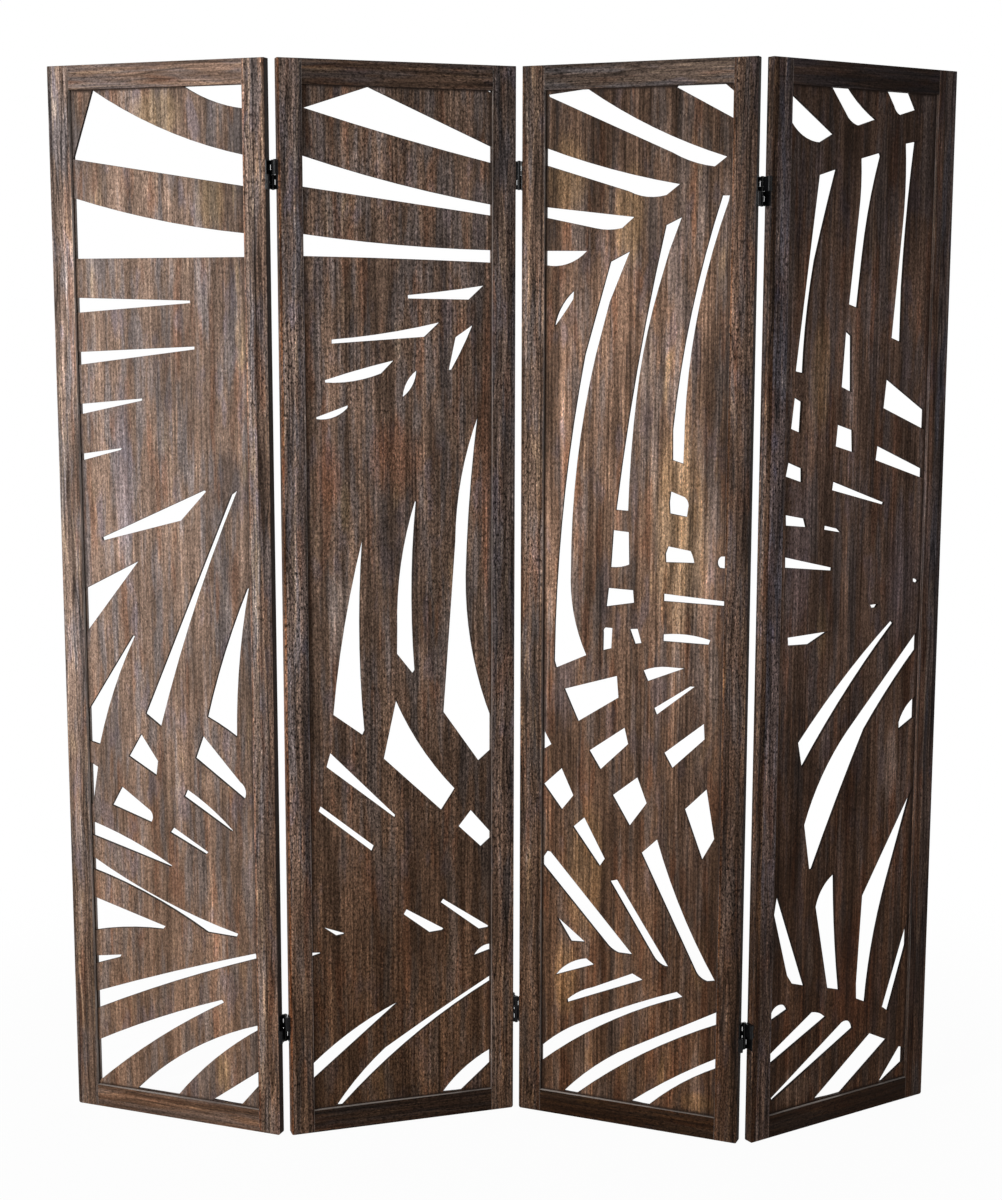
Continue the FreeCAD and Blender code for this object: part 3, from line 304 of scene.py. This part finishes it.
def grainLayers(start, settings, kind, spot):
    # every layer of noise that this kind of piece has
    layers = {**grain["all"], **grain[kind]}
    seed = settings["seed"] + seedOfKind[kind]
    side, along = (spot["up"], spot["across"]) if kind == "rail" else (spot["across"], spot["up"])
    # the grain wanders a little on its way up the piece
    amount, cells = layers["wander"]
    drift = noiseAt(start, (side, spot["back"], along), seed, cells, 2.0, 2.0) - 0.5
    place = (side + drift * amount + seed, spot["back"] + seed, along)
    return {
        name: noiseAt(start, place, shift, *layers[name][:2], detail)
        for name, (shift, detail) in layerStarts.items() if name in layers
    }


def wearAt(start):
    # 1 along the sharp edges of a piece and 0 away from them
    rounded = start.node("Bevel", {"samples": 6}, {"Radius": wood["edge"]})
    straight = start.node("NewGeometry", output="Normal")
    alike = start.node("VectorMath", {"operation": "DOT_PRODUCT"}, {0: rounded, 1: straight}, "Value")
    return alike.between(0.998, 0.90)


def onTheRight(across):
    # 0 on the left stile and 1 on the right one
    return across.between(0.35 * panel["width"], 0.65 * panel["width"])


def climb(up, tones):
    # a tone that changes from the foot of the panel to its middle and to its top
    foot, middle, top = tones
    height = panel["height"]
    tone = up.between(0.18 * height, 0.60 * height) * (middle - foot) + foot
    return tone + up.between(0.74 * height, 0.96 * height) * (top - middle)


def toneAndShadeOf(settings, kind, across, up):
    # the tone of this piece, along it and across the panel: the wood's own tone, with painted shade and sheen
    # in it
    width, height = panel["width"], panel["height"]
    if kind == "stile":
        left, right = settings["stiles"]
        rightward = onTheRight(across)
        return climb(up, left) * (1 - rightward) + climb(up, right) * rightward
    if kind == "rail":
        (topLeft, topRight), (footLeft, footRight) = settings["rails"]
        along = across.between(0.1 * width, 0.8 * width)
        upper = up.between(0.45 * height, 0.55 * height)
        top = along * (topRight - topLeft) + topLeft
        foot = along * (footRight - footLeft) + footLeft
        return top * upper + foot * (1 - upper)
    left, middle, right = settings["lean"]
    lean = across.between(0.20 * width, 0.42 * width) * (middle - left) + left
    lean = lean + across.between(0.62 * width, 0.80 * width) * (right - middle)
    top, middle, foot = settings["board"]
    return climb(up, (foot, middle, top)) * lean


def gritOf(settings, kind, across):
    # how rough the brush left this piece
    left, right, board, rail = settings["grit"]
    if kind == "stile":
        return onTheRight(across) * (right - left) + left
    return board if kind == "board" else rail


def veinIn(noise, look, strength):
    line = (noise - look["centre"]).size().between(look["width"], veins["core"])
    return line * (look["strength"] * strength)


def shadeOf(settings, kind, across, noise, darkPores, darkVein, paleVein):
    # how light each spot is against the tone of its piece
    layers = grain[kind]
    figure = settings["figure"] if kind == "board" else 1.0
    grit = gritOf(settings, kind, across)
    cloud = noise["cloud"]
    shade = cloud.between(0.30, 0.70) * 0.40 + 0.81
    # broad strips, narrower bands and fine lines
    for layer in ("strips", "bands", "lines"):
        strength = layers[layer][2] * figure
        shade = shade * (noise[layer].between(0.28, 0.72) * (1.5 * strength) + (1 - 0.75 * strength))
    shade = shade * (noise["fibres"].between(0.30, 0.70) * 0.24 + 0.88)
    shade = shade * ((noise["speckle"].between(0.25, 0.75) - 0.5) * layers["speckle"][2] * grit + 1)
    shade = shade * ((noise["hairs"].between(0.30, 0.70) - 0.5) * layers["hairs"][2] + 1)
    # open pores, and pale flecks between them
    paleFlecks = noise["flecks"].between(0.55, 0.68) * brushedAt(cloud) * layers["flecks"][2] * grit
    shade = shade * (1 - darkPores.math("MINIMUM", 0.9)) * (1 + paleFlecks)
    if kind == "board":
        # evenly spaced fine lines in patches, where the board was cut along its rings
        strayed = across + (noise["strips"] - 0.5) * wood["combedStray"]
        wave = (strayed * (2 * math.pi / wood["combedPitch"])).math("SINE")
        combed = wave.between(-0.1, 0.8) * noise["combed"].between(0.48, 0.58)
        shade = shade * (1 - combed * (layers["combed"][2] * figure))
        shade = shade * (noise["streaks"].between(0.56, 0.68) * 0.34 + 0.96)
    return shade * (1 - darkVein) * (1 + paleVein)


def brushedAt(cloud):
    # where the wire brush opened the pores most
    return cloud.between(0.35, 0.62) * 0.45 + 0.55


def hueOf(settings, noise, paleVein):
    # the wood's hue before its tone
    colour = wood["brown"]
    for name, layer, ramp, share in hues:
        colour = (noise[layer].between(*ramp) * share).mixed(colour, wood[name])
    # golden patches, partly a painted satin sheen
    golden = noise["glow"].between(0.60, 0.74) * noise["bands"].between(0.40, 0.62)
    colour = (golden * (0.65 * settings["gold"])).mixed(colour, wood["tan"])
    return (paleVein * 0.6).mixed(colour, wood["tan"])


def markBoard(settings, across, up, noise, colour, shade):
    # stains and rubbed spots with ragged outlines, in their own places
    ragged = noise["bands"] * 1.6 + noise["strips"] * 0.8 - 1.2
    for mark, centreAcross, centreUp, halfWidth, halfHeight in settings["marks"]:
        look = marks[mark]
        reach = ((across - centreAcross) / halfWidth).math("POWER", 2.0)
        reach = reach + ((up - centreUp) / halfHeight).math("POWER", 2.0) - ragged
        there = reach.between(1.3, 0.1) * look["strength"]
        colour = there.mixed(colour, look["colour"])
        shade = shade * (there * (look["lift"] - 1.0) + 1.0)
    # a few pale chips where the torch lifted a splinter
    chips = noise["flecks"].between(0.74, 0.78) * noise["glow"].between(0.55, 0.60)
    return (chips * 0.8).mixed(colour, wood["chip"]), shade * (chips + 1.0)


def zoneStile(settings, across, noise, colour):
    # strips of the stile that took the torch and the brush differently; some are pale lines painted as
    # highlights along edges that face the softbox
    blur = 0.001
    wavering = across + (noise["bands"] - 0.5) * 0.004
    for zoneStart, zoneEnd, tint in settings["zones"]:
        there = wavering.between(zoneStart - blur, zoneStart + blur)
        there = there * wavering.between(zoneEnd + blur, zoneEnd - blur)
        colour = colour.times(there.mixed((1.0, 1.0, 1.0), tint))
    return colour


def boardSootAndShadow(spot, noise, flat, wear):
    # burnt cut edges, and painted shadow in the corner between the board and the frame that stands proud of
    # it, along its sides, top and foot
    member, halfHeight = panel["member"], panel["height"] / 2
    fromLeft = spot["across"] - member
    fromRight = panel["width"] - member - spot["across"]
    fromEnd = (halfHeight - member) - (spot["up"] - halfHeight).size()
    # painted shadow: the board darkened within a few millimetres of its frame
    cornerShadow = fromLeft.between(0.007, 0.001).larger(fromRight.between(0.010, 0.001) * 0.9)
    cornerShadow = cornerShadow.larger(fromEnd.between(0.006, 0.0005))
    sootAndShade = (flat.between(0.90, 0.50) * 0.9).larger(wear * 0.75)
    return sootAndShade.larger(cornerShadow * (noise["lines"] * 0.4 + 0.6))


def stileSootShadeAndHighlight(settings, spot, flat, wear):
    # outer sides darkened with soot and, where they face right, away from the softbox, with painted shade;
    # the sides towards the board painted paler as painted light, with painted highlight and pale wear along
    # the edges
    rightward = spot["faceAcross"].between(-0.2, 0.2)
    outward = (spot["across"] - panel["width"] / 2) * spot["faceAcross"]
    turned = flat.between(0.75, 0.35)
    leftFace, rightFace = settings["sidesSootAndShade"]
    # painted shade on the outer sides that face right, away from the softbox, and soot on those that face
    # left
    sootAndShade = outward.between(0.0, 0.02) * (rightward * (rightFace - leftFace) + leftFace) * turned
    # the left stile's face towards the board looks to the right
    onLeft, onRight = settings["inner"]
    # painted light on the sides towards the board
    inner = outward.between(0.0, -0.02) * turned * (rightward * (onLeft - onRight) + onRight)
    return sootAndShade, inner.larger(wear * 0.5)


def railSootShadeAndGlint(spot, flat, wear):
    # sides and undersides darkened, partly soot and partly painted shade; the upward ledges where the board
    # meets the rail painted pale as a painted glint, brighter towards the left, with pale wear along the
    # edges
    member, halfHeight = panel["member"], panel["height"] / 2
    fromMiddle = (spot["up"] - halfHeight).size()
    ledgeGlint = fromMiddle.between(halfHeight - member / 2, halfHeight - member * 0.9)
    ledgeGlint = ledgeGlint * spot["faceUp"].between(0.5, 0.9)
    sootAndShade = flat.between(0.75, 0.35) * 0.6 * (1 - ledgeGlint)
    # painted glint on the ledge, stronger towards the left
    ledgeGlint = ledgeGlint * (spot["across"].between(0.30, 0.12) * 0.5 + 0.6)
    return sootAndShade, ledgeGlint.larger(wear * 0.25)


def makeWood(name, settings, kind):
    # kind is stile, rail or board
    material, start = newMaterial(name)
    spot = placeInPanel(start, settings)
    across, up = spot["across"], spot["up"]
    noise = grainLayers(start, settings, kind, spot)
    layers = grain[kind]

    grit = gritOf(settings, kind, across)
    darkPores = noise["pores"].between(0.51, 0.62) * brushedAt(noise["cloud"]) * layers["pores"][2] * grit
    darkVein = veinIn(noise["veins"], veins["dark"], layers["veins"][2])
    paleVein = veinIn(noise["veins"], veins["pale"], layers["veins"][2])
    shade = shadeOf(settings, kind, across, noise, darkPores, darkVein, paleVein)
    colour = hueOf(settings, noise, paleVein)
    if kind == "board":
        colour, shade = markBoard(settings, across, up, noise, colour, shade)
    elif kind == "stile":
        colour = zoneStile(settings, across, noise, colour)

    # the piece's own cast, redder and darker towards the floor as a painted sheen leaves the upper parts
    # greyer, and its tone, which holds painted shade and sheen too
    cast = settings["cast"][kind]
    footCast = settings["cast"]["foot"] if kind == "rail" else cast
    footTint = tuple(part * darker for part, darker in zip(footCast, wood["warmth"]))
    warm = up.between(0.55 * panel["height"], 0.05 * panel["height"]) * settings["warmth"]
    colour = colour.times(warm.mixed(cast, footTint))
    colour = colour.tinted(shade * toneAndShadeOf(settings, kind, across, up))

    # torched edges and sides darkened with soot and with painted shadow and shade; paler edges, sides and
    # ledges, partly wear and partly painted highlight and glint
    flat = spot["faceBack"].size()
    wear = wearAt(start)
    patchy = noise["lines"].between(0.38, 0.62) * 0.6 + 0.4
    if kind == "board":
        colour = boardSootAndShadow(spot, noise, flat, wear).mixed(colour, wood["soot"])
    else:
        if kind == "stile":
            sootAndShade, paleWearAndHighlight = stileSootShadeAndHighlight(settings, spot, flat, wear)
        else:
            sootAndShade, paleWearAndHighlight = railSootShadeAndGlint(spot, flat, wear)
        colour = sootAndShade.mixed(colour, wood["soot"])
        colour = (paleWearAndHighlight * patchy).mixed(colour, wood["paleWearAndHighlight"])

    roughness = wood["roughness"] + (noise["pores"] - 0.5) * 0.25
    height = noise["lines"] * 0.5 + (1 - darkPores) * 0.9 + noise["fibres"] * 0.25
    sockets = {"Base Color": colour, "Roughness": roughness, "Specular IOR Level": wood["specular"]}
    finishMaterial(start, sockets, height, wood["bump"])
    return material


for name, settings in panels.items():
    materials = {kind: makeWood(name + " " + kind, settings, kind) for kind in ("stile", "rail", "board")}
    for nodeName, node in nodes.items():
        if nodeName.startswith(name):
            for kind in materials:
                if kind in nodeName:
                    dress(node, materials[kind])
print("stage 2: wood")

hinge = {
    "black": (0.0045, 0.0045, 0.005),
    "worn": (0.022, 0.021, 0.020),
    "wornShare": 0.7,
    "roughness": 0.30,
    "specular": 0.14,
    "bump": 0.00004,
}
dowel = {
    "dark": (0.45, 0.30, 0.18),
    "pale": (0.62, 0.45, 0.28),
    "roughness": 0.7,
    "specular": 0.3,
    "bump": 0.0001,
}


def plainNoise(start, cells):
    # noise with no direction: cells per metre
    coordinates = start.node("TexCoord", output="Object")
    return start.node("TexNoise", None, {"Vector": coordinates, "Scale": cells, "Detail": 3.0})


def makeMetal(name):
    material, start = newMaterial(name)
    patches = plainNoise(start, 160.0)
    colour = (patches.between(0.58, 0.72) * hinge["wornShare"]).mixed(hinge["black"], hinge["worn"])
    roughness = hinge["roughness"] + (patches - 0.5) * 0.3
    sockets = {"Base Color": colour, "Roughness": roughness, "Specular IOR Level": hinge["specular"]}
    finishMaterial(start, sockets, plainNoise(start, 900.0), hinge["bump"])
    return material


def makeDowelWood(name):
    material, start = newMaterial(name)
    endGrain = plainNoise(start, 500.0)
    colour = endGrain.between(0.3, 0.7).mixed(dowel["dark"], dowel["pale"])
    sockets = {"Base Color": colour, "Roughness": dowel["roughness"], "Specular IOR Level": dowel["specular"]}
    finishMaterial(start, sockets, endGrain, dowel["bump"])
    return material


hingeBlack = makeMetal("hinge black")
dowelWood = makeDowelWood("dowel wood")
for nodeName, node in nodes.items():
    if "dowels" in nodeName:
        dress(node, dowelWood)
    elif nodeName.startswith("joint") or "screws" in nodeName:
        dress(node, hingeBlack)
print("stage 3: hardware")

studio = {
    "floorSize": 14.0,
    "floorColour": (0.86, 0.86, 0.86),
    # how white the camera sees the floor near the screen, and from where to where it turns all white
    "floorWhite": 0.965,
    "floorFade": (0.8, 1.8),
    "ambient": 0.17,
    "aim": (0.0, 0.0, 1.0),
    "lamps": {
        "softbox on the left": {"place": (-2.7, -2.5, 2.0), "size": (0.9, 1.3), "power": 88.0},
        "fill from the front": {"place": (0.6, -4.5, 2.4), "size": (3.0, 2.5), "power": 12.0},
        "softbox behind": {"place": (1.6, 4.2, 2.4), "size": (3.0, 2.5), "power": 70.0},
    },
}
white = (1.0, 1.0, 1.0, 1.0)


def seenDirectly(start):
    # 1 for what the camera sees itself or in a gloss, and 0 for light that falls on other things
    seen = start.node("LightPath", output="Is Camera Ray")
    for ray in ("Is Glossy Ray", "Is Transmission Ray"):
        seen = seen.larger(start.node("LightPath", output=ray))
    return seen


def makeFloor():
    half = studio["floorSize"] / 2
    mesh = bpy.data.meshes.new("floor")
    corners = [(-half, -half, 0.0), (half, -half, 0.0), (half, half, 0.0), (-half, half, 0.0)]
    mesh.from_pydata(corners, [], [(0, 1, 2, 3)])
    floor = bpy.data.objects.new("floor", mesh)
    bpy.context.scene.collection.objects.link(floor)
    material, start = newMaterial("pale floor")
    # the camera sees it nearly white, and fading to the white behind, and still sees the shadow on it
    coordinates = start.node("TexCoord", output="Object")
    distance = start.node("VectorMath", {"operation": "LENGTH"}, {0: coordinates}, "Value")
    share = distance.between(*studio["floorFade"]) * (1 - studio["floorWhite"]) + studio["floorWhite"]
    glowing = start.node("Emission", None, {"Color": white, "Strength": 1.0})
    matt = start.node("BsdfDiffuse", None, {"Color": (*studio["floorColour"], 1.0)})
    mixed = start.node("MixShader", None, {0: seenDirectly(start) * share, 1: matt, 2: glowing})
    start.node("OutputMaterial", None, {"Surface": mixed})
    dress(floor, material)


def makeWorld():
    world = bpy.data.worlds.new("studio")
    world.use_nodes = True
    bpy.context.scene.world = world
    world.node_tree.nodes.clear()
    start = Wire(world.node_tree)
    strength = seenDirectly(start) * (1 - studio["ambient"]) + studio["ambient"]
    background = start.node("Background", None, {"Color": white, "Strength": strength})
    start.node("OutputWorld", None, {"Surface": background})


def makeLamp(name, settings):
    light = bpy.data.lights.new(name, "AREA")
    light.shape = "RECTANGLE"
    light.size, light.size_y = settings["size"]
    light.energy = settings["power"]
    lamp = bpy.data.objects.new(name, light)
    bpy.context.scene.collection.objects.link(lamp)
    lamp.location = settings["place"]
    towards = Vector(studio["aim"]) - Vector(settings["place"])
    lamp.rotation_euler = towards.to_track_quat("-Z", "Y").to_euler()


makeFloor()
makeWorld()
for name, settings in studio["lamps"].items():
    makeLamp(name, settings)
print("stage 4: studio")

view = {
    "place": (-0.0019, -3.3487, 1.4328),
    "pitch": -8.726,
    "yaw": 0.055,
    "roll": 0.119,
    "lens": 60.16,
    "sensor": 36.0,
}
cameraData = bpy.data.cameras.new("camera")
cameraData.sensor_width = view["sensor"]
cameraData.lens = view["lens"]
camera = bpy.data.objects.new("camera", cameraData)
bpy.context.scene.collection.objects.link(camera)
camera.matrix_world = (
    Matrix.Translation(view["place"])
    @ Matrix.Rotation(math.radians(view["yaw"]), 4, "Z")
    @ Matrix.Rotation(math.radians(90.0 + view["pitch"]), 4, "X")
    @ Matrix.Rotation(math.radians(view["roll"]), 4, "Z")
)
bpy.context.scene.camera = camera
bpy.context.scene.view_settings.view_transform = "Standard"
print("stage 5: camera")
